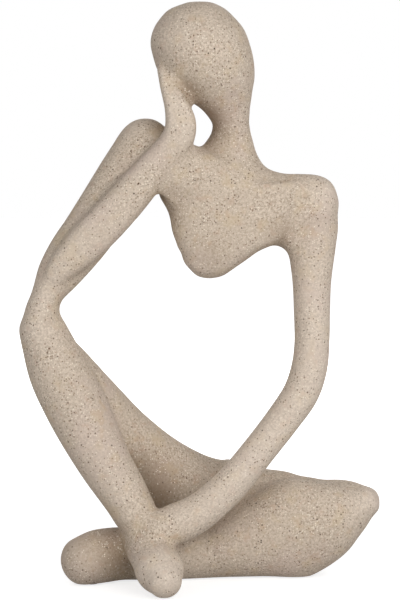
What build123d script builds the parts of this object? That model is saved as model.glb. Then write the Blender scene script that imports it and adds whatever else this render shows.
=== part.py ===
"""A seated thinker: an abstract, faceless figure cast in sandstone coloured resin.

The figure sits cross-legged with one knee raised, its elbow on that knee and its hand at its
cheek.  The waist is left out, so the chest hangs over the legs between two long arms.  It is cast
as six pieces that are bonded over steel dowels, with steel cores in the long limbs and soft pads
let into the underside.

X runs across the figure, from its right hand side to its left, Y from front to back and Z up.
The origin is on the ground, under the middle of the figure.
"""

import math
import os

from build123d import *

# Overall size of the figure
statue_width = 162.0
statue_depth = 92.0
statue_height = 260.0

# Largest cross section of each limb, across it and through it
head_width = 45.0
head_depth = 42.0
neck_width = 18.0
neck_depth = 19.0
chest_width = 66.0
chest_depth = 29.0
girdle_width = 29.0
girdle_depth = 28.0
left_arm_width = 16.0
left_arm_depth = 17.0
upper_arm_width = 24.0
upper_arm_depth = 24.0
forearm_width = 18.0
forearm_depth = 17.0
thigh_width = 40.0
thigh_depth = 34.0
left_shin_width = 36.0
left_shin_depth = 29.0
right_shin_width = 25.0
right_shin_depth = 25.0
foot_width = 22.0
foot_depth = 24.0

# How far each rounded end stands past the last section of its limb
left_shoulder_reach = 10.3
left_arm_top_reach = 4.0
left_hand_reach = 6.0
right_shoulder_reach = 13.0
right_elbow_reach = 7.0
forearm_root_reach = 5.0
finger_reach = 3.0
raised_knee_reach = 11.5
resting_knee_reach = 3.8
left_foot_reach = 10.3
ankle_reach = 5.0
right_foot_reach = 6.5

# Steel dowels that carry the bonded joints
neck_dowel_diameter = 4.0
neck_dowel_length = 20.0
shoulder_dowel_diameter = 4.0
shoulder_dowel_length = 22.0
cheek_dowel_diameter = 2.5
cheek_dowel_length = 8.0
elbow_dowel_diameter = 4.0
elbow_dowel_length = 20.0
hand_dowel_diameter = 3.0
hand_dowel_length = 11.0
hip_dowel_diameter = 5.0
hip_dowel_length = 34.0
ankle_dowel_diameter = 3.0
ankle_dowel_length = 12.0
bond_gap = 0.1

# Steel cores cast into the long limbs
arm_core_diameter = 3.0
leg_core_diameter = 4.0

# Pads under the figure
seat_pad_diameter = 9.0
foot_pad_diameter = 5.0
pad_thickness = 1.6
pad_proud = 0.4
pad_gap = 0.1

# How far a cut runs past what it cuts
overrun = 20.0

# A limb's row gives one cross section: the place of its middle, as shares of the figure's width,
# depth and height, and its size, as shares of the limb's own width and depth.  The legs rest on
# the ground, so their rows give the height of the underside.  A sixth value adds to the section's
# corner share.
head_shares = [
    (0.000, 0.076, 0.998, 0.16, 0.19),
    (-0.001, 0.076, 0.996, 0.29, 0.33),
    (-0.004, 0.076, 0.991, 0.43, 0.48),
    (-0.007, 0.073, 0.984, 0.59, 0.62),
    (-0.007, 0.070, 0.974, 0.70, 0.74),
    (-0.005, 0.065, 0.961, 0.83, 0.86),
    (-0.003, 0.060, 0.947, 0.92, 0.94),
    (0.000, 0.054, 0.927, 0.98, 0.99),
    (0.008, 0.054, 0.906, 0.99, 0.99),
    (0.015, 0.054, 0.886, 0.97, 0.95),
    (0.026, 0.058, 0.865, 0.89, 0.87),
    (0.039, 0.065, 0.848, 0.76, 0.77),
    (0.050, 0.076, 0.833, 0.66, 0.67),
    (0.065, 0.085, 0.821, 0.53, 0.59),
    (0.076, 0.092, 0.808, 0.44, 0.52),
    (0.083, 0.098, 0.795, 0.38, 0.47),
    (0.086, 0.103, 0.783, 0.38, 0.46),
]
neck_shares = [
    (0.086, 0.103, 0.783, 0.94, 1.01),
    (0.085, 0.114, 0.769, 1.04, 0.97),
    (0.080, 0.117, 0.755, 1.24, 0.99),
    (0.075, 0.114, 0.742, 1.44, 1.07),
    (0.071, 0.103, 0.728, 1.71, 1.18),
    (0.066, 0.087, 0.714, 2.08, 1.28),
    (0.066, 0.076, 0.699, 2.63, 1.33),
]
chest_shares = [
    (0.026, 0.064, 0.525, 0.05, 0.28),
    (0.026, 0.062, 0.527, 0.12, 0.47),
    (0.028, 0.061, 0.531, 0.20, 0.61),
    (0.030, 0.059, 0.537, 0.26, 0.73),
    (0.035, 0.059, 0.549, 0.37, 0.86),
    (0.046, 0.060, 0.563, 0.47, 0.95),
    (0.059, 0.059, 0.577, 0.59, 0.98),
    (0.080, 0.058, 0.591, 0.73, 0.99),
    (0.086, 0.058, 0.606, 0.80, 0.99),
    (0.087, 0.058, 0.625, 0.83, 0.99),
    (0.088, 0.059, 0.646, 0.89, 0.98),
    (0.086, 0.063, 0.666, 0.97, 0.94),
    (0.083, 0.074, 0.690, 1.03, 0.88),
]
girdle_shares = [
    (-0.138, 0.098, 0.745, 0.74, 0.86),
    (-0.055, 0.049, 0.711, 0.89, 1.11),
    (0.033, 0.065, 0.685, 1.02, 1.04),
    (0.138, 0.087, 0.664, 0.99, 0.91),
    (0.222, 0.098, 0.651, 0.96, 0.86),
    (0.274, 0.098, 0.649, 0.99, 0.87),
    (0.320, 0.098, 0.646, 0.99, 0.82),
]
left_arm_shares = [
    (0.301, 0.098, 0.659, 1.48, 1.18),
    (0.310, 0.098, 0.624, 1.49, 1.25),
    (0.310, 0.087, 0.576, 1.34, 1.20),
    (0.310, 0.071, 0.521, 1.10, 1.09),
    (0.310, 0.049, 0.466, 1.02, 1.04),
    (0.310, 0.027, 0.419, 0.99, 1.01),
    (0.303, 0.005, 0.374, 1.01, 1.01),
    (0.280, -0.016, 0.330, 1.01, 1.01),
    (0.236, -0.043, 0.290, 0.97, 0.99),
    (0.168, -0.087, 0.237, 0.94, 0.96),
    (0.086, -0.130, 0.177, 0.98, 0.96),
    (0.000, -0.165, 0.131, 1.06, 1.02),
    (-0.071, -0.189, 0.110, 1.14, 1.08),
    (-0.131, -0.204, 0.099, 1.03, 1.04),
]
upper_arm_shares = [
    (-0.154, 0.109, 0.750, 1.04, 1.04),
    (-0.208, 0.098, 0.700, 1.02, 1.00),
    (-0.260, 0.076, 0.649, 1.00, 0.96),
    (-0.305, 0.054, 0.606, 0.98, 0.93),
    (-0.352, 0.033, 0.567, 0.93, 0.88),
    (-0.393, 0.011, 0.530, 0.79, 0.83),
    (-0.424, -0.011, 0.494, 0.57, 0.77),
    (-0.438, -0.022, 0.465, 0.63, 0.75),
]
forearm_shares = [
    (-0.412, -0.027, 0.512, 0.48, 0.71, 0.12),
    (-0.386, -0.047, 0.541, 0.68, 0.89, 0.12),
    (-0.324, -0.065, 0.581, 0.95, 1.00, 0.12),
    (-0.260, -0.074, 0.621, 0.99, 1.01, 0.12),
    (-0.199, -0.074, 0.663, 0.97, 1.01, 0.12),
    (-0.142, -0.074, 0.704, 0.89, 0.99, 0.12),
    (-0.095, -0.078, 0.738, 0.82, 0.96, 0.12),
    (-0.065, -0.083, 0.762, 0.77, 0.92, 0.20),
    (-0.052, -0.083, 0.784, 0.80, 0.89, 0.28),
    (-0.059, -0.072, 0.811, 0.65, 0.87, 0.32),
    (-0.071, -0.057, 0.835, 0.55, 0.85, 0.32),
    (-0.087, -0.037, 0.858, 0.41, 0.75, 0.30),
    (-0.101, -0.015, 0.879, 0.27, 0.61, 0.25),
]
thigh_shares = [
    (-0.423, 0.000, 0.378, 0.48, 0.62),
    (-0.369, 0.033, 0.328, 0.55, 0.69),
    (-0.287, 0.087, 0.265, 0.57, 0.75),
    (-0.205, 0.152, 0.192, 0.66, 0.82),
    (-0.114, 0.217, 0.110, 0.87, 0.91),
    (-0.006, 0.272, 0.009, 1.32, 1.00),
    (0.100, 0.304, -0.008, 1.27, 1.01),
    (0.199, 0.293, -0.002, 1.17, 0.98),
    (0.284, 0.261, 0.007, 1.08, 0.92),
    (0.367, 0.196, 0.044, 0.83, 0.76),
    (0.416, 0.152, 0.078, 0.60, 0.66),
    (0.452, 0.120, 0.098, 0.42, 0.55),
    (0.476, 0.103, 0.112, 0.30, 0.44),
]
left_shin_shares = [
    (0.476, 0.103, 0.110, 0.36, 0.54),
    (0.455, 0.105, 0.096, 0.48, 0.68),
    (0.417, 0.103, 0.070, 0.70, 0.83),
    (0.345, 0.098, 0.025, 1.07, 0.97),
    (0.258, 0.109, -0.005, 1.28, 1.03),
    (0.169, 0.120, -0.004, 1.05, 1.03),
    (0.098, 0.125, -0.005, 0.86, 1.03),
    (0.028, 0.120, -0.006, 0.69, 0.97),
    (-0.056, 0.076, -0.004, 0.63, 0.90),
    (-0.140, 0.038, -0.001, 0.62, 0.86),
    (-0.222, -0.005, 0.002, 0.66, 0.83),
    (-0.285, -0.054, -0.001, 0.67, 0.83),
    (-0.320, -0.087, -0.002, 0.62, 0.79),
]
right_shin_shares = [
    (-0.432, -0.022, 0.433, 0.86, 1.00),
    (-0.391, -0.043, 0.369, 1.07, 1.04),
    (-0.347, -0.065, 0.314, 1.11, 1.04),
    (-0.305, -0.087, 0.263, 1.06, 1.00),
    (-0.261, -0.103, 0.211, 0.95, 0.96),
    (-0.208, -0.127, 0.159, 0.85, 0.92),
    (-0.173, -0.141, 0.120, 0.76, 0.88),
]
right_foot_shares = [
    (-0.170, -0.087, 0.061, 0.81, 0.88),
    (-0.147, -0.185, 0.034, 0.87, 0.88),
    (-0.121, -0.283, 0.016, 0.94, 0.82),
    (-0.107, -0.359, 0.001, 0.97, 0.85),
    (-0.095, -0.429, -0.001, 0.71, 0.66),
]

# Middles of the bonded joints and of the pads, as shares of the figure's width, depth and height.
# The heights of the hand, the hip and the ankle are shares of the limb that they stand in.
neck_joint_shares = (0.084, 0.103, 0.783)
right_shoulder_joint_shares = (-0.094, 0.109, 0.726)
left_shoulder_joint_shares = (0.308, 0.092, 0.590)
cheek_joint_shares = (-0.061, -0.049, 0.862)
elbow_joint_shares = (-0.432, -0.022, 0.460)
hand_joint_shares = (-0.136, -0.215, 1.15)
hip_joint_shares = (0.100, 0.304, 0.80)
ankle_joint_shares = (-0.138, -0.054, 0.51)
right_seat_pad_shares = (0.03, 0.29)
left_seat_pad_shares = (0.22, 0.27)
right_foot_pad_shares = (-0.10, -0.38)
left_foot_pad_shares = (-0.30, -0.07)

# A quarter of an ellipse is close to a curve whose two handles have this share of its half axes;
# a larger share gives a boxier section.
round_share = 0.5523
girdle_corner_share = 0.66
chest_corner_share = 0.78

# Distance between the cross sections of a limb
section_spacing = 6.0

# A rounded end is a quarter turn of shrinking sections, given here by their angles
round_angles = (28.0, 50.0, 68.0, 82.0)


def place(shares, height=statue_height):
    """The point at these shares of the figure's width and depth and of this height."""
    return Vector(shares[0] * statue_width, shares[1] * statue_depth, shares[2] * height)


def resting(shares, heights):
    """Rows that give the height of a limb's underside, with the height of its middle instead."""
    rows = []
    for row, height in zip(shares, heights):
        rows.append((*row[:2], row[2] + height / 2 / statue_height, *row[3:]))
    return rows


def even_rows(shares, width, depth):
    """Evenly spaced cross sections: middle, direction, half width, half depth and any added corner.

    A cubic curve runs through the rows of the table, with the length along the limb as its parameter.
    """
    rows = [(*place(row), row[3] * width / 2, row[4] * depth / 2, *row[5:]) for row in shares]
    last = len(rows) - 1
    lengths = [0.0]
    for row, next_row in zip(rows, rows[1:]):
        lengths.append(lengths[-1] + math.dist(row[:3], next_row[:3]))
    slopes = []
    for index in range(last + 1):
        low, high = max(index - 1, 0), min(index + 1, last)
        run = lengths[high] - lengths[low]
        slopes.append([(after - before) / run for before, after in zip(rows[low], rows[high])])
    steps = math.ceil(lengths[-1] / section_spacing)
    found = []
    for step in range(steps + 1):
        length = lengths[-1] * step / steps
        index = max(i for i in range(last) if lengths[i] <= length)
        run = lengths[index + 1] - lengths[index]
        t = (length - lengths[index]) / run
        ends = zip(rows[index], rows[index + 1], slopes[index], slopes[index + 1])
        values, changes = [], []
        for start, end, start_slope, end_slope in ends:
            bend = 2 * (start - end) + run * (start_slope + end_slope)
            lift = 3 * (end - start) - run * (2 * start_slope + end_slope)
            values.append(start + t * (run * start_slope + t * (lift + t * bend)))
            changes.append(run * start_slope + t * (2 * lift + t * 3 * bend))
        found.append((Vector(*values[:3]), Vector(*changes[:3]).normalized(), *values[3:]))
    return found


def level_rows(shares, width, depth):
    """Level cross sections at the rows of the table: middle, direction, half width and half depth."""
    upward = math.copysign(1, shares[-1][2] - shares[0][2])
    return [(place(row), Vector(0, 0, upward), row[3] * width / 2, row[4] * depth / 2) for row in shares]


def section_faces(rows, start_reach=0.0, end_reach=0.0, corner_share=round_share, side=Vector(0, 1, 0)):
    """Faces of a limb's cross sections, with a rounded end where a reach is given.

    A section's depth runs along the given side direction, as nearly as the middle line allows.
    """
    rows = list(rows)
    for reach, at_end in ((start_reach, False), (end_reach, True)):
        if reach > 0:
            middle, along, half_width, half_depth, *added = rows[-1] if at_end else rows[0]
            outward = along if at_end else along * -1
            for angle in round_angles:
                turn = math.radians(angle)
                tip = middle + outward * (reach * math.sin(turn))
                row = (tip, along, half_width * math.cos(turn), half_depth * math.cos(turn), *added)
                rows.insert(len(rows) if at_end else 0, row)
    faces = []
    for middle, along, half_width, half_depth, *added in rows:
        corner = corner_share + sum(added)
        ends = [(half_width, 0), (0, half_depth), (-half_width, 0), (0, -half_depth)]
        with BuildSketch(Plane(origin=middle, x_dir=side.cross(along), z_dir=along)) as section:
            with BuildLine():
                for (x, y), (next_x, next_y) in zip(ends, ends[1:] + ends[:1]):
                    handle = (x + next_x * corner, y + next_y * corner)
                    next_handle = (next_x + x * corner, next_y + y * corner)
                    Bezier((x, y), handle, next_handle, (next_x, next_y))
            make_face()
        faces.append(section.sketch.faces()[0])
    return faces


def core_faces(shares, diameter):
    """Round faces of a steel core that follows the middle line of a limb."""
    return section_faces(even_rows([(*row[:3], 1, 1) for row in shares], diameter, diameter))


# Limbs of the figure, before they are cut to each other

with BuildPart() as skull:
    loft(section_faces(level_rows(head_shares, head_width, head_depth)))

with BuildPart() as neck:
    loft(section_faces(level_rows(neck_shares, neck_width, neck_depth)))

with BuildPart() as chest:
    loft(section_faces(level_rows(chest_shares, chest_width, chest_depth), corner_share=chest_corner_share))

with BuildPart() as girdle:
    rows = even_rows(girdle_shares, girdle_width, girdle_depth)
    loft(section_faces(rows, end_reach=left_shoulder_reach, corner_share=girdle_corner_share))

with BuildPart() as whole_left_arm:
    rows = even_rows(left_arm_shares, left_arm_width, left_arm_depth)
    loft(section_faces(rows, left_arm_top_reach, left_hand_reach))

with BuildPart() as upper_arm:
    rows = even_rows(upper_arm_shares, upper_arm_width, upper_arm_depth)
    loft(section_faces(rows, right_shoulder_reach, right_elbow_reach))

with BuildPart() as forearm:
    rows = even_rows(forearm_shares, forearm_width, forearm_depth)
    loft(section_faces(rows, forearm_root_reach, finger_reach))

with BuildPart() as thighs:
    resting_rows = resting(thigh_shares, [thigh_width * row[3] for row in thigh_shares])
    rows = even_rows(resting_rows, thigh_width, thigh_depth)
    loft(section_faces(rows, raised_knee_reach, resting_knee_reach))

with BuildPart() as left_shin:
    resting_rows = resting(left_shin_shares, [left_shin_width * row[3] for row in left_shin_shares])
    rows = even_rows(resting_rows, left_shin_width, left_shin_depth)
    loft(section_faces(rows, resting_knee_reach, left_foot_reach))

with BuildPart() as right_shin:
    rows = even_rows(right_shin_shares, right_shin_width, right_shin_depth)
    loft(section_faces(rows, raised_knee_reach, ankle_reach))

with BuildPart() as right_foot:
    resting_rows = resting(right_foot_shares, [foot_depth * row[4] for row in right_foot_shares])
    rows = even_rows(resting_rows, foot_width, foot_depth)
    loft(section_faces(rows, ankle_reach, right_foot_reach, side=Vector(0, 0, 1)))

# Steel dowels and cores, each with the hole that it is bonded or cast into

dowels = {}
drills = {}
for name, joint, direction, diameter, length in (
    ("neck_dowel", place(neck_joint_shares), (0, 0, 1), neck_dowel_diameter, neck_dowel_length),
    (
        "right_shoulder_dowel",
        place(right_shoulder_joint_shares),
        (3, 0, -2),
        shoulder_dowel_diameter,
        shoulder_dowel_length,
    ),
    (
        "left_shoulder_dowel",
        place(left_shoulder_joint_shares),
        (0, 0, 1),
        shoulder_dowel_diameter,
        shoulder_dowel_length,
    ),
    ("cheek_dowel", place(cheek_joint_shares), (2, 1, 0), cheek_dowel_diameter, cheek_dowel_length),
    ("elbow_dowel", place(elbow_joint_shares), (0, 0, 1), elbow_dowel_diameter, elbow_dowel_length),
    ("hand_dowel", place(hand_joint_shares, foot_depth), (0, 1, 0), hand_dowel_diameter, hand_dowel_length),
    ("hip_dowel", place(hip_joint_shares, thigh_width), (1, 0, 0), hip_dowel_diameter, hip_dowel_length),
    (
        "ankle_dowel",
        place(ankle_joint_shares, left_shin_width),
        (0, 1, 0),
        ankle_dowel_diameter,
        ankle_dowel_length,
    ),
):
    joint_plane = Plane(origin=joint, z_dir=direction)
    with BuildPart(joint_plane) as dowels[name]:
        Cylinder(radius=diameter / 2, height=length)
    with BuildPart(joint_plane) as drills[name]:
        Cylinder(radius=diameter / 2 + bond_gap, height=length + 2 * bond_gap)

cores = {}
for name, core_shares, diameter in (
    ("left_arm_core", left_arm_shares[4:12], arm_core_diameter),
    ("right_forearm_core", forearm_shares[2:7], arm_core_diameter),
    ("right_shin_core", right_shin_shares[1:6], leg_core_diameter),
):
    with BuildPart() as cores[name]:
        loft(core_faces(core_shares, diameter))

# Pads, each in a pocket of the underside

pads = {}
pockets = {}
for name, pad_shares, diameter in (
    ("right_seat_pad", right_seat_pad_shares, seat_pad_diameter),
    ("left_seat_pad", left_seat_pad_shares, seat_pad_diameter),
    ("right_foot_pad", right_foot_pad_shares, foot_pad_diameter),
    ("left_foot_pad", left_foot_pad_shares, foot_pad_diameter),
):
    pad_plane = Plane(origin=place((*pad_shares, 0)))
    upward = (Align.CENTER, Align.CENTER, Align.MIN)
    with BuildPart(pad_plane) as pads[name]:
        Cylinder(radius=diameter / 2, height=pad_thickness, align=upward)
    with BuildPart(pad_plane) as pockets[name]:
        Cylinder(radius=diameter / 2 + pad_gap, height=pad_thickness, align=upward)

# The six castings.  The ground block cuts their undersides flat.

with BuildPart(Plane.XY.offset(pad_proud)) as ground:
    Box(
        statue_width + 2 * overrun,
        statue_depth + 2 * overrun,
        overrun,
        align=(Align.CENTER, Align.CENTER, Align.MAX),
    )

hip_plane = Plane(origin=place(hip_joint_shares, thigh_width), z_dir=(1, 0, 0))

with BuildPart() as right_leg:
    add(thighs.part)
    split(bisect_by=hip_plane, keep=Keep.BOTTOM)
    add(left_shin.part, mode=Mode.SUBTRACT)
    add([right_shin.part, right_foot.part])
    add([ground.part, pockets["right_seat_pad"].part, pockets["right_foot_pad"].part], mode=Mode.SUBTRACT)
    add(
        [drills[name].part for name in ("elbow_dowel", "hand_dowel", "hip_dowel", "ankle_dowel")],
        mode=Mode.SUBTRACT,
    )
    add(cores["right_shin_core"].part, mode=Mode.SUBTRACT)

with BuildPart() as left_leg:
    add(thighs.part)
    split(bisect_by=hip_plane, keep=Keep.TOP)
    add(left_shin.part)
    add([right_shin.part, right_foot.part], mode=Mode.SUBTRACT)
    add([ground.part, pockets["left_seat_pad"].part, pockets["left_foot_pad"].part], mode=Mode.SUBTRACT)
    add([drills[name].part for name in ("hip_dowel", "ankle_dowel")], mode=Mode.SUBTRACT)

with BuildPart() as right_arm:
    add([upper_arm.part, forearm.part])
    add([thighs.part, right_shin.part], mode=Mode.SUBTRACT)
    add(
        [drills[name].part for name in ("right_shoulder_dowel", "cheek_dowel", "elbow_dowel")],
        mode=Mode.SUBTRACT,
    )
    add(cores["right_forearm_core"].part, mode=Mode.SUBTRACT)

with BuildPart() as torso:
    add([girdle.part, neck.part, chest.part])
    add([upper_arm.part, forearm.part], mode=Mode.SUBTRACT)
    add(
        [drills[name].part for name in ("neck_dowel", "right_shoulder_dowel", "left_shoulder_dowel")],
        mode=Mode.SUBTRACT,
    )

with BuildPart() as head:
    add(skull.part)
    add(forearm.part, mode=Mode.SUBTRACT)
    add([drills[name].part for name in ("neck_dowel", "cheek_dowel")], mode=Mode.SUBTRACT)

with BuildPart() as left_arm:
    add(whole_left_arm.part)
    add([girdle.part, chest.part], mode=Mode.SUBTRACT)
    add([thighs.part, left_shin.part, right_shin.part, right_foot.part], mode=Mode.SUBTRACT)
    add([drills[name].part for name in ("left_shoulder_dowel", "hand_dowel")], mode=Mode.SUBTRACT)
    add(cores["left_arm_core"].part, mode=Mode.SUBTRACT)

# Every piece goes into a file of its own

castings = {
    "head": head,
    "torso": torso,
    "left_arm": left_arm,
    "right_arm": right_arm,
    "left_leg": left_leg,
    "right_leg": right_leg,
}

os.makedirs("parts", exist_ok=True)
for name, piece in (castings | dowels | cores | pads).items():
    piece.part.label = name
    export_step(piece.part, f"parts/{name}.step")
    print(name, [round(solid.volume) for solid in piece.part.solids()], piece.part.is_valid)
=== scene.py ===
"""The looks of the seated thinker: one smooth skin over six bonded castings, in speckled sandstone resin."""

import math

import bpy
import numpy as np
import openvdb as vdb
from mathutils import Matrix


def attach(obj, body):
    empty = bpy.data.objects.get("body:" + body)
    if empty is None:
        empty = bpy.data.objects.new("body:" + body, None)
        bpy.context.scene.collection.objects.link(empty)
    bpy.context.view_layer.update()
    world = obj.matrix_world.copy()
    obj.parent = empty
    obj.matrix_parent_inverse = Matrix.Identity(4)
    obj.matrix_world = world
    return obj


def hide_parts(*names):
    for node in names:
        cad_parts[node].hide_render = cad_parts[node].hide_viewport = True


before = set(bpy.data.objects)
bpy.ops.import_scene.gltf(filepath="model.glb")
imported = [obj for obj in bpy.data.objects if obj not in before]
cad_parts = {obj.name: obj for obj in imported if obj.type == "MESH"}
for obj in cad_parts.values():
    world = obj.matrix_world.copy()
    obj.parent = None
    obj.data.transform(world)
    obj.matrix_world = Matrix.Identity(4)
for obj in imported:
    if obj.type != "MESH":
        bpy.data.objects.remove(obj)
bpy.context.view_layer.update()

CASTINGS = ["head", "torso", "left_arm", "right_arm", "left_leg", "right_leg"]
PADS = ["right_seat_pad", "left_seat_pad", "right_foot_pad", "left_foot_pad"]
STEEL = [name for name in sorted(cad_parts) if name not in CASTINGS + PADS]

# The lattice that the skin is worked out on, in metres: its step, the room round the castings, and how
# far from a surface a distance is kept, for the skin, the seams, and the steel and pads
STEP = 0.0007
MARGIN = 0.010
BAND = 0.0042
SEAM_REACH = 0.008
INSIDE_REACH = 0.003
# How many steps a surface needs on each side of it, and how many of its reaches a blur takes in
SURFACE_STEPS = 3
BLUR_REACHES = 2.5

# The bonds, in metres: the gap that is filled, how far a piece runs on under its neighbour's skin, how
# deep it lies there, and the height of the flat underside
BOND = 0.0003
LAP = 0.0012
LAP_SINK = 0.00008
UNDERSIDE = 0.0004
# A point this close to the skin takes the skin's own normal, and no slope is divided by less than tiny
ON_SKIN = LAP_SINK + 0.3 * STEP
TINY = 1e-9

# Rounds in the creases: a crease is filled to the first length and smoothed over the second, in metres
SMALL_ROUND = (0.0014, 0.0008)
MIDDLE_ROUND = (0.0025, 0.0009)
LARGE_ROUND = (0.0065, 0.0016)
BROAD_ROUND = (0.0150, 0.0022)
PLAIN_ROUND = (0.0014, 0.0024)

# Balls, by middle and reach in metres, where the creases have other rounds than the small one: limbs
# flow into each other in the middle, large and broad ones, and a plain form has no crease
MIDDLE_PLACES = [
    ((-0.0035, -0.001, 0.214), 0.011),
    ((-0.0010, 0.004, 0.197), 0.009),
]
LARGE_PLACES = [
    ((0.040, 0.008, 0.146), 0.026),
    ((0.040, 0.008, 0.182), 0.022),
    ((0.014, 0.008, 0.174), 0.018),
    ((-0.0067, -0.008, 0.1905), 0.009),
    ((-0.0115, -0.008, 0.1840), 0.010),
    ((-0.0155, -0.008, 0.1800), 0.008),
    ((-0.030, 0.008, 0.196), 0.010),
    ((-0.036, -0.008, 0.174), 0.013),
    ((-0.045, -0.009, 0.163), 0.015),
    ((-0.054, -0.008, 0.151), 0.017),
    ((-0.068, -0.004, 0.124), 0.018),
    ((0.058, 0.015, 0.032), 0.030),
    ((0.030, 0.010, 0.032), 0.022),
    ((0.018, -0.004, 0.028), 0.014),
    ((0.006, -0.007, 0.023), 0.014),
    ((0.000, 0.015, 0.020), 0.022),
    ((-0.027, -0.022, 0.027), 0.012),
]
BROAD_PLACES = [
    ((-0.010, -0.009, 0.185), 0.010),
    ((-0.009, -0.010, 0.1755), 0.011),
    ((0.003, -0.010, 0.1760), 0.014),
    ((0.015, -0.008, 0.1780), 0.015),
    ((0.052, 0.016, 0.0450), 0.017),
    ((0.062, 0.014, 0.0430), 0.015),
]
PLAIN_PLACES = [
    ((0.007, 0.008, 0.245), 0.034),
    ((-0.079, -0.002, 0.116), 0.020),
    ((0.049, 0.018, 0.044), 0.018),
    ((0.067, 0.014, 0.042), 0.018),
]
ROUNDS = [
    (MIDDLE_ROUND, MIDDLE_PLACES),
    (LARGE_ROUND, LARGE_PLACES),
    (BROAD_ROUND, BROAD_PLACES),
    (PLAIN_ROUND, PLAIN_PLACES),
]

# How far round a point its hollow is measured, in metres, and on every how many steps of the lattice
HOLLOW_REACHES = (0.005, 0.012)
HOLLOW_STEPS = 3

# The sand: its dark and pale colour, the scale and range of the fine pattern between them, and the
# scale, range and strength of the places where the pattern is worn faint
DARK_SAND = (0.39, 0.305, 0.23)
PALE_SAND = (0.69, 0.585, 0.475)
SAND_SCALE = 1000.0
SAND_RANGE = (0.36, 0.63)
WORN_SCALE = 60.0
WORN_RANGE = (0.42, 0.58)
WORN_STRENGTH = 0.16
# Pinkish, ochre and rusty patches: scale and range of their pattern, strength and colour
PATCHES = [
    (41.0, (0.50, 0.66), 0.40, (0.57, 0.45, 0.39)),
    (132.0, (0.54, 0.68), 0.45, (0.58, 0.46, 0.31)),
    (265.0, (0.58, 0.70), 0.40, (0.50, 0.35, 0.26)),
]
# Pale, brown, dark brown, rusty and black grains: cells in a metre, share of the cells that hold one
# where grains are neither gathered nor rare, reach of the largest one in cells, and colour
GRAINS = [
    (1200.0, 0.30, 0.55, (0.80, 0.72, 0.61)),
    (950.0, 0.26, 0.52, (0.25, 0.175, 0.12)),
    (650.0, 0.13, 0.40, (0.15, 0.10, 0.07)),
    (330.0, 0.07, 0.22, (0.36, 0.18, 0.10)),
    (330.0, 0.34, 0.19, (0.065, 0.045, 0.032)),
]
# Where grains gather: scale and range of the pattern, and how many times their share there is; then the
# reach of the smallest grain as a share of the largest, and of a grain's full colour as a share of it
GATHERED_SCALE = 75.0
GATHERED_RANGE = (0.38, 0.64)
GATHERED_TIMES = (0.3, 1.9)
SMALLEST_GRAIN = 0.45
GRAIN_CORE = 0.3
# The roughness that can be felt: scale of its pattern, strength, and depth in metres; and the faint sheen
FELT_SCALE = 1300.0
FELT_STRENGTH = 0.35
FELT_DEPTH = 0.0004
SHEEN = 0.25

# Painted light and shade: thin limbs are painted paler, as if they caught more light, and deep hollows are
# painted dark brown shade: range of the hollow, strength and colour
LIMB_LIGHT_RANGE = (0.24, 0.39)
LIMB_LIGHT_STRENGTH = 0.33
LIMB_LIGHT_COLOUR = (0.84, 0.73, 0.64)
HOLLOW_SHADE_RANGE = (0.50, 0.78)
HOLLOW_SHADE_STRENGTH = 0.75
HOLLOW_SHADE_COLOUR = (0.20, 0.125, 0.075)
# More painted shade, in soft dark brown spots at creases and recesses: its colour, the share of a spot's
# reach that has its full strength, and each spot's middle and reach in metres and its strength
SHADE_SPOT_COLOUR = (0.235, 0.155, 0.09)
SHADE_SPOT_CORE = 0.2
SHADE_SPOTS = [
    ((-0.025, 0.005, 0.042), 0.026, 0.50),
    ((-0.019, 0.004, 0.036), 0.012, 0.35),
    ((-0.034, -0.011, 0.014), 0.016, 0.42),
    ((-0.052, -0.014, 0.014), 0.034, 0.34),
    ((-0.0055, -0.004, 0.2205), 0.012, 0.50),
    ((0.003, 0.001, 0.210), 0.014, 0.30),
    ((0.006, 0.003, 0.202), 0.018, 0.22),
    ((0.033, 0.0, 0.157), 0.013, 0.36),
    ((-0.016, -0.001, 0.169), 0.017, 0.32),
    ((0.004, -0.004, 0.147), 0.016, 0.20),
]

# The studio, in metres: half the floor's width, its grey and roughness, its glow near the figure, and
# how far from the figure that glow begins to rise to white and has risen
WHITE = (1.0, 1.0, 1.0)
FLOOR_REACH = 3.0
FLOOR_GREY = (0.5, 0.5, 0.5)
FLOOR_ROUGHNESS = 0.9
FLOOR_GLOW = 0.74
GLOW_RANGE = (0.10, 0.45)
SURROUND_LIGHT = 0.18
# Soft boxes: place, side in metres and power in watts, all turned to one point
LAMPS = {
    "key": ((0.55, -0.95, 0.50), 1.2, 12.4),
    "fill": ((-0.80, -0.90, 0.35), 0.8, 4.6),
    "back": ((0.0, 1.0, 0.45), 0.8, 4.5),
}
LIT_POINT = (0.0, 0.0, 0.13)
# The photograph's camera: place in metres, tilt up from straight down in degrees, sensor and lens in mm
CAMERA_PLACE = (0.0, -1.0958, 0.2229)
CAMERA_TILT = 85.0
CAMERA_SENSOR = 36.0
CAMERA_LENS = 147.75

# Which of a Mix node's inputs are its two colours, and which of its outputs is the mixed one
FIRST_COLOUR = 6
SECOND_COLOUR = 7
MIXED_COLOUR = 2


def node_points(name):
    """The corners of a CAD node's mesh."""
    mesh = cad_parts[name].data
    points = np.empty(3 * len(mesh.vertices), np.float32)
    mesh.vertices.foreach_get("co", points)
    return points.reshape(-1, 3)


def lattice_span():
    """The lattice's lowest place, and its number of places along each axis, round all the castings."""
    points = np.concatenate([node_points(name) for name in CASTINGS])
    low = np.floor((points.min(axis=0) - MARGIN) / STEP).astype(int)
    high = np.ceil((points.max(axis=0) + MARGIN) / STEP).astype(int)
    return tuple(low.tolist()), tuple((high - low + 1).tolist())


LOW, SHAPE = lattice_span()
LATTICE = vdb.createLinearTransform(STEP)


def lattice_line(axis):
    """The lattice's places along one axis, in metres."""
    return ((LOW[axis] + np.arange(SHAPE[axis])) * STEP).astype(np.float32)


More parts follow.
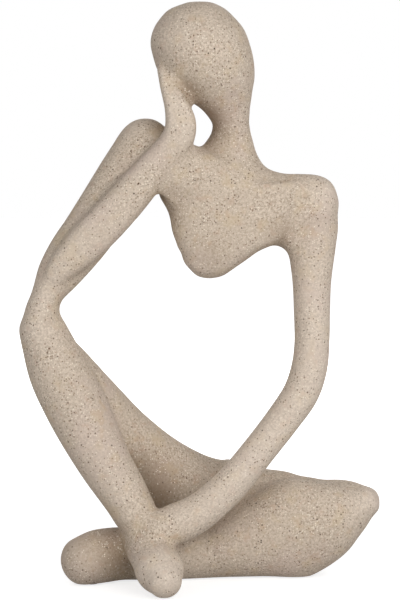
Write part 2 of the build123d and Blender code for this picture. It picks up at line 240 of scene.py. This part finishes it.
def distance(points, outside, inside, **faces):
    """The distance to a closed surface over the lattice, less than zero inside it.

    It is kept as far as two reaches, outside and inside the surface, and is even beyond them.
    """
    grid = vdb.FloatGrid.createLevelSetFromPolygons(
        points,
        transform=LATTICE,
        exBandWidth=outside / STEP,
        inBandWidth=inside / STEP,
        **faces,
    )
    field = np.empty(SHAPE, np.float32)
    grid.copyToArray(field, ijk=LOW)
    return field


def node_distance(name, reach):
    """The distance to a CAD node, worked out from its own triangles as far as this reach."""
    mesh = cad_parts[name].data
    mesh.calc_loop_triangles()
    triangles = np.empty(3 * len(mesh.loop_triangles), np.int32)
    mesh.loop_triangles.foreach_get("vertices", triangles)
    triangles = triangles.reshape(-1, 3).astype(np.uint32)
    return distance(node_points(name), reach, reach, triangles=triangles)


def least(fields):
    """The smallest value of several fields at each place."""
    fields = iter(fields)
    found = next(fields).copy()
    for field in fields:
        np.minimum(found, field, out=found)
    return found


def surface(field, level=0.0):
    """The points and quads of the surface on which a field has this level."""
    edge = SURFACE_STEPS * STEP
    grid = vdb.FloatGrid(edge)
    grid.copyFromArray(np.clip(field - level, -edge, edge), ijk=LOW)
    grid.transform = LATTICE
    return grid.convertToQuads(isovalue=0.0)


def blurred(field, reach):
    """A field smoothed along each axis by the weight exp(-(d / reach)^2 / 2) of a place d away."""
    span = max(1, math.ceil(BLUR_REACHES * reach / STEP))
    weights = np.exp(-0.5 * (np.arange(-span, span + 1) * STEP / reach) ** 2)
    weights = (weights / weights.sum()).astype(np.float32)
    for axis in range(3):
        padding = [(span, span) if index == axis else (0, 0) for index in range(3)]
        padded = np.pad(field, padding, mode="edge")
        total = np.zeros_like(field)
        for start, weight in enumerate(weights):
            cut = [slice(None)] * 3
            cut[axis] = slice(start, start + field.shape[axis])
            total += weight * padded[tuple(cut)]
        field = total
    return field


def smoothed(field, reach):
    """A blurred field, with what a blur takes from rounded shapes given back."""
    once = blurred(field, reach)
    return 2.0 * once - blurred(once, reach)


def rounded(points, quads, radius, blur):
    """The distance to a surface with its creases filled to a radius, and then smoothed.

    It is grown by the radius and shrunk by it again, which leaves only the hollow creases filled.
    """
    grown = distance(points, radius + BAND, BAND, quads=quads)
    points, quads = surface(grown, radius)
    return smoothed(distance(points, BAND, radius + BAND, quads=quads) + radius, blur)


def share_of(places):
    """How far each place of the lattice lies in some balls.

    It is 1 within half of a ball's reach, 0 beyond its reach, and t * t * (3 - 2 * t) between them, where
    t goes evenly from 1 to 0.
    """
    share = np.zeros(SHAPE, np.float32)
    lines = [lattice_line(axis) for axis in range(3)]
    for middle, reach in places:
        parts = [(line - place) ** 2 for line, place in zip(lines, middle)]
        away = np.sqrt(parts[0][:, None, None] + parts[1][None, :, None] + parts[2][None, None, :])
        ball = np.clip(2.0 - 2.0 * away / reach, 0.0, 1.0)
        share = np.maximum(share, ball * ball * (3.0 - 2.0 * ball))
    return share


def sampled(field, points, steps=1):
    """A field's values at any points, from the eight places of the lattice round each.

    The field holds one place out of so many steps along each axis.
    """
    places = (points / STEP - np.array(LOW)) / steps
    corner = np.floor(places).astype(int)
    part = (places - corner).astype(np.float32)
    total = np.zeros(len(points), np.float32)
    for index in np.ndindex(2, 2, 2):
        weight = np.ones(len(points), np.float32)
        for axis in range(3):
            weight *= part[:, axis] if index[axis] else 1.0 - part[:, axis]
        total += weight * field[tuple((corner + index).T)]
    return total


def whole_skin(castings):
    """The distance to one skin over the whole figure, from the distances to its castings.

    The bonds are closed, the creases get their rounds, and the underside is cut flat.
    """
    inside = least(node_distance(name, INSIDE_REACH) for name in STEEL + PADS)
    points, quads = surface(least([*castings.values(), inside]), BOND)
    points, quads = surface(distance(points, BAND, BAND, quads=quads) + BOND)
    skin = rounded(points, quads, *SMALL_ROUND)
    for sizes, places in ROUNDS:
        skin += share_of(places) * (rounded(points, quads, *sizes) - skin)
    return np.maximum(skin, (UNDERSIDE - lattice_line(2))[None, None, :])


def fullness_of(skin):
    """The share of material round each place: half at a plain face, more in a hollow, less at a limb."""
    every = slice(None, None, HOLLOW_STEPS)
    solid = np.clip(0.5 - skin / STEP, 0.0, 1.0)[every, every, every]
    return sum(blurred(solid, reach / HOLLOW_STEPS) for reach in HOLLOW_REACHES) / len(HOLLOW_REACHES)


def outward_quads(points, quads):
    """The quads, turned over if they face inwards.

    The products a . (b x c) of their halves' corners add up to six times the volume, which is less than
    zero when they do.
    """
    first, second, third, fourth = np.moveaxis(points[quads], 1, 0)
    volume = np.sum(first * np.cross(second, third)) + np.sum(first * np.cross(third, fourth))
    return quads[:, ::-1] if volume < 0 else quads


def closed_mesh(name, points, quads):
    """A mesh of these points and quads."""
    mesh = bpy.data.meshes.new(name)
    mesh.vertices.add(len(points))
    mesh.vertices.foreach_set("co", np.ascontiguousarray(points, np.float32).ravel())
    mesh.loops.add(quads.size)
    mesh.loops.foreach_set("vertex_index", np.ascontiguousarray(quads, np.int32).ravel())
    mesh.polygons.add(len(quads))
    mesh.polygons.foreach_set("loop_start", np.arange(0, quads.size, 4, dtype=np.int32))
    mesh.update(calc_edges=True)
    mesh.validate()
    return mesh


def shade(mesh, points, skin, slopes):
    """Gives a mesh the skin's own normals wherever it lies on the skin and above the underside."""
    normals = np.empty(3 * len(points), np.float32)
    mesh.vertex_normals.foreach_get("vector", normals)
    normals = normals.reshape(-1, 3)
    outward = np.stack([sampled(slope, points) for slope in slopes], axis=1)
    outward /= np.maximum(np.linalg.norm(outward, axis=1, keepdims=True), TINY)
    on_skin = np.abs(sampled(skin, points)) < ON_SKIN
    on_skin &= points[:, 2] > UNDERSIDE + STEP
    normals[on_skin] = outward[on_skin]
    mesh.shade_smooth()
    mesh.normals_split_custom_set_from_vertices(normals)


def build_skin():
    """One closed piece for each casting, cut from the whole skin along the castings' own seams.

    Each piece runs a little under its neighbour's skin, so that no bond line shows. Its attribute
    "hollow" is how full of material the room round each point is.
    """
    castings = {name: node_distance(name, SEAM_REACH) for name in CASTINGS}
    skin = whole_skin(castings)
    slopes = np.gradient(skin)
    fullness = fullness_of(skin)
    pieces = []
    for name in CASTINGS:
        others = least(field for other, field in castings.items() if other != name)
        seam = (castings[name] - others) / 2
        points, quads = surface(np.maximum(skin + LAP_SINK * np.clip(seam / LAP, 0.0, 1.0), seam - LAP))
        mesh = closed_mesh(name + "_skin", points, outward_quads(points, quads))
        shade(mesh, points, skin, slopes)
        hollow = mesh.attributes.new("hollow", "FLOAT", "POINT")
        hollow.data.foreach_set("value", sampled(fullness, points, HOLLOW_STEPS))
        piece = bpy.data.objects.new(name + "_skin", mesh)
        bpy.context.scene.collection.objects.link(piece)
        pieces.append(piece)
    return pieces


def feed(tree, socket, value):
    """Gives a socket a number, a colour or another node's output."""
    if isinstance(value, bpy.types.NodeSocket):
        tree.links.new(value, socket)
    elif isinstance(value, tuple):
        socket.default_value = (*value, 1.0)
    else:
        socket.default_value = value


def maths(tree, operation, *values):
    """What a maths node makes of its values."""
    node = tree.nodes.new("ShaderNodeMath")
    node.operation = operation
    for socket, value in zip(node.inputs, values):
        feed(tree, socket, value)
    return node.outputs["Value"]


def ranged(tree, value, source, target, smooth=False):
    """A value carried from one range over to another, and held within that one."""
    node = tree.nodes.new("ShaderNodeMapRange")
    if smooth:
        node.interpolation_type = "SMOOTHSTEP"
    names = ("Value", "From Min", "From Max", "To Min", "To Max")
    for name, given in zip(names, (value, *source, *target)):
        feed(tree, node.inputs[name], given)
    return node.outputs["Result"]


def apart(tree, place, middle=(0.0, 0.0, 0.0)):
    """How far a place is from a point."""
    node = tree.nodes.new("ShaderNodeVectorMath")
    node.operation = "DISTANCE"
    node.inputs[1].default_value = middle
    tree.links.new(place, node.inputs[0])
    return node.outputs["Value"]


def noise(tree, place, scale, detail=2.0, roughness=0.5):
    """A noise texture's value."""
    node = tree.nodes.new("ShaderNodeTexNoise")
    node.inputs["Scale"].default_value = scale
    node.inputs["Detail"].default_value = detail
    node.inputs["Roughness"].default_value = roughness
    tree.links.new(place, node.inputs["Vector"])
    return node.outputs["Fac"]


def mixed(tree, share, first, second):
    """A colour mixed from two."""
    node = tree.nodes.new("ShaderNodeMix")
    node.data_type = "RGBA"
    feed(tree, node.inputs["Factor"], share)
    feed(tree, node.inputs[FIRST_COLOUR], first)
    feed(tree, node.inputs[SECOND_COLOUR], second)
    return node.outputs[MIXED_COLOUR]


def grain_group():
    """A node group that marks some cells of a cell pattern as soft grains of uneven size.

    The grains gather in some places and are rare in others.
    """
    group = bpy.data.node_groups.new("grains", "ShaderNodeTree")
    group.interface.new_socket("Vector", in_out="INPUT", socket_type="NodeSocketVector")
    for name in ("Scale", "Chance", "Size"):
        group.interface.new_socket(name, in_out="INPUT", socket_type="NodeSocketFloat")
    group.interface.new_socket("Grain", in_out="OUTPUT", socket_type="NodeSocketFloat")
    nodes, links = group.nodes, group.links
    given = nodes.new("NodeGroupInput").outputs
    cells = nodes.new("ShaderNodeTexVoronoi")
    links.new(given["Vector"], cells.inputs["Vector"])
    links.new(given["Scale"], cells.inputs["Scale"])
    pick = nodes.new("ShaderNodeSeparateColor")
    links.new(cells.outputs["Color"], pick.inputs["Color"])
    pattern = noise(group, given["Vector"], GATHERED_SCALE, roughness=0.6)
    times = ranged(group, pattern, GATHERED_RANGE, GATHERED_TIMES)
    chosen = maths(group, "LESS_THAN", pick.outputs["Red"], maths(group, "MULTIPLY", given["Chance"], times))
    spread = ranged(group, pick.outputs["Green"], (0.0, 1.0), (SMALLEST_GRAIN, 1.0))
    reach = maths(group, "MULTIPLY", spread, given["Size"])
    core = maths(group, "MULTIPLY", reach, GRAIN_CORE)
    mark = ranged(group, cells.outputs["Distance"], (core, reach), (1.0, 0.0), smooth=True)
    result = nodes.new("NodeGroupOutput")
    links.new(maths(group, "MULTIPLY", mark, chosen), result.inputs["Grain"])
    return group


def plain_material(name, colour, roughness, metallic=0.0):
    """A material of one colour; returned with its shader and its node tree."""
    material = bpy.data.materials.new(name)
    material.use_nodes = True
    shader = material.node_tree.nodes["Principled BSDF"]
    shader.inputs["Base Color"].default_value = (*colour, 1.0)
    shader.inputs["Roughness"].default_value = roughness
    shader.inputs["Metallic"].default_value = metallic
    return material, shader, material.node_tree


def object_place(tree):
    """The place of each point on the object."""
    return tree.nodes.new("ShaderNodeTexCoord").outputs["Object"]


def roughen(tree, shader, pattern, depth, strength=1.0):
    """Gives a surface the bumps of a pattern, this deep in metres."""
    bump = tree.nodes.new("ShaderNodeBump")
    bump.inputs["Strength"].default_value = strength
    bump.inputs["Distance"].default_value = depth
    tree.links.new(pattern, bump.inputs["Height"])
    tree.links.new(bump.outputs["Normal"], shader.inputs["Normal"])


def sand_colour(tree, place):
    """Beige sand, mottled from grain to grain and tinted in patches."""
    faint = ranged(tree, noise(tree, place, WORN_SCALE), WORN_RANGE, (WORN_STRENGTH, 0.0))
    strong = maths(tree, "SUBTRACT", 1.0, faint)
    pattern = noise(tree, place, SAND_SCALE, detail=3.0, roughness=0.8)
    colour = mixed(tree, ranged(tree, pattern, SAND_RANGE, (faint, strong)), DARK_SAND, PALE_SAND)
    for scale, patch, strength, tint in PATCHES:
        share = ranged(tree, noise(tree, place, scale), patch, (0.0, strength))
        colour = mixed(tree, share, colour, tint)
    return colour


def light_and_shade_colour(tree, place, colour):
    """A colour with painted light, paler on thin limbs, and painted shade, dark brown in the hollows and in
    spots at the creases.
    """
    hollow = tree.nodes.new("ShaderNodeAttribute")
    hollow.attribute_name = "hollow"
    # Painted light: thin limbs, with little material round them, are made paler
    limb_light = ranged(tree, hollow.outputs["Fac"], LIMB_LIGHT_RANGE, (LIMB_LIGHT_STRENGTH, 0.0))
    colour = mixed(tree, limb_light, colour, LIMB_LIGHT_COLOUR)
    # Painted shade: deep hollows, with much material round them, are darkened towards dark brown
    hollow_shade = ranged(tree, hollow.outputs["Fac"], HOLLOW_SHADE_RANGE, (0.0, HOLLOW_SHADE_STRENGTH), smooth=True)
    colour = mixed(tree, hollow_shade, colour, HOLLOW_SHADE_COLOUR)
    # Painted shade: soft dark brown spots at creases and recesses
    for middle, reach, strength in SHADE_SPOTS:
        away = apart(tree, place, middle)
        near = ranged(tree, away, (SHADE_SPOT_CORE * reach, reach), (strength, 0.0), smooth=True)
        colour = mixed(tree, near, colour, SHADE_SPOT_COLOUR)
    return colour


def grained_colour(tree, place, colour):
    """A colour strewn with grains of every kind."""
    grains = grain_group()
    for scale, chance, size, tint in GRAINS:
        marks = tree.nodes.new("ShaderNodeGroup")
        marks.node_tree = grains
        tree.links.new(place, marks.inputs["Vector"])
        marks.inputs["Scale"].default_value = scale
        marks.inputs["Chance"].default_value = chance
        marks.inputs["Size"].default_value = size
        colour = mixed(tree, marks.outputs["Grain"], colour, tint)
    return colour


def sandstone_material():
    """Stone-filled resin with the look of sandstone, matt and finely rough."""
    material, shader, tree = plain_material("sandstone_resin", (0.54, 0.44, 0.36), roughness=0.85)
    place = object_place(tree)
    colour = light_and_shade_colour(tree, place, sand_colour(tree, place))
    tree.links.new(grained_colour(tree, place, colour), shader.inputs["Base Color"])
    roughen(tree, shader, noise(tree, place, FELT_SCALE, 3.0, 0.7), FELT_DEPTH, FELT_STRENGTH)
    shader.inputs["Specular IOR Level"].default_value = SHEEN
    return material


def steel_material():
    """Plain steel rod with fine marks."""
    material, shader, tree = plain_material("steel_rod", (0.55, 0.55, 0.56), roughness=0.35, metallic=1.0)
    roughen(tree, shader, noise(tree, object_place(tree), scale=900.0), depth=0.00002)
    return material


def pad_material():
    """Dark soft pad with a fine nap."""
    material, shader, tree = plain_material("dark_pad", (0.03, 0.028, 0.026), roughness=0.9)
    roughen(tree, shader, noise(tree, object_place(tree), scale=1800.0), depth=0.0001)
    return material


def dress(obj, material):
    """Gives an object one material only."""
    obj.data.materials.clear()
    obj.data.materials.append(material)


def seen_share(tree):
    """1 for rays that see a thing straight, mirrored or through glass, and 0 for rays of light."""
    path = tree.nodes.new("ShaderNodeLightPath").outputs
    mirrored = maths(tree, "MAXIMUM", path["Is Glossy Ray"], path["Is Transmission Ray"])
    return maths(tree, "MAXIMUM", path["Is Camera Ray"], mirrored)


def white_floor():
    """A floor that looks white and keeps the figure's shadow."""
    sides = (-FLOOR_REACH, FLOOR_REACH)
    mesh = bpy.data.meshes.new("floor")
    mesh.from_pydata([(x, y, 0.0) for x in sides for y in sides], [], [(0, 2, 3, 1)])
    floor = bpy.data.objects.new("floor", mesh)
    bpy.context.scene.collection.objects.link(floor)
    material, shader, tree = plain_material("white_floor", FLOOR_GREY, FLOOR_ROUGHNESS)
    shader.inputs["Emission Color"].default_value = (*WHITE, 1.0)
    glow = ranged(tree, apart(tree, object_place(tree)), GLOW_RANGE, (FLOOR_GLOW, 1.0), smooth=True)
    tree.links.new(maths(tree, "MULTIPLY", seen_share(tree), glow), shader.inputs["Emission Strength"])
    dress(floor, material)


def white_surround():
    """A surround that looks white and gives the figure a little light."""
    world = bpy.context.scene.world or bpy.data.worlds.new("surround")
    bpy.context.scene.world = world
    world.use_nodes = True
    tree = world.node_tree
    lit = tree.nodes["Background"]
    lit.inputs["Color"].default_value = (*WHITE, 1.0)
    lit.inputs["Strength"].default_value = SURROUND_LIGHT
    seen = tree.nodes.new("ShaderNodeBackground")
    seen.inputs["Color"].default_value = (*WHITE, 1.0)
    seen.inputs["Strength"].default_value = 1.0
    mix = tree.nodes.new("ShaderNodeMixShader")
    for socket, output in zip(mix.inputs, (seen_share(tree), lit.outputs[0], seen.outputs[0])):
        tree.links.new(output, socket)
    tree.links.new(mix.outputs[0], tree.nodes["World Output"].inputs["Surface"])


def soft_box(name, place, side, power):
    """A square lamp that faces the lit point."""
    data = bpy.data.lights.new(name, "AREA")
    data.size = side
    data.energy = power
    light = bpy.data.objects.new(name, data)
    light.location = place
    x, y, z = (aim - at for aim, at in zip(LIT_POINT, place))
    quarter = math.pi / 2
    light.rotation_euler = (quarter + math.atan2(z, math.hypot(x, y)), 0.0, math.atan2(y, x) - quarter)
    bpy.context.scene.collection.objects.link(light)


def photo_camera():
    """The photograph's camera."""
    data = bpy.data.cameras.new("camera")
    data.sensor_width = CAMERA_SENSOR
    data.lens = CAMERA_LENS
    camera = bpy.data.objects.new("camera", data)
    camera.location = CAMERA_PLACE
    camera.rotation_euler = (math.radians(CAMERA_TILT), 0.0, 0.0)
    bpy.context.scene.collection.objects.link(camera)
    bpy.context.scene.camera = camera


sandstone = sandstone_material()
steel = steel_material()
pad = pad_material()
for casting, piece in zip(CASTINGS, build_skin()):
    dress(piece, sandstone)
    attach(piece, "root")
    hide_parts(casting)
for name in STEEL:
    dress(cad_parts[name], steel)
for name in PADS:
    dress(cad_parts[name], pad)

white_floor()
white_surround()
for name, (place, side, power) in LAMPS.items():
    soft_box(name, place, side, power)
photo_camera()
bpy.context.scene.view_settings.view_transform = "Standard"
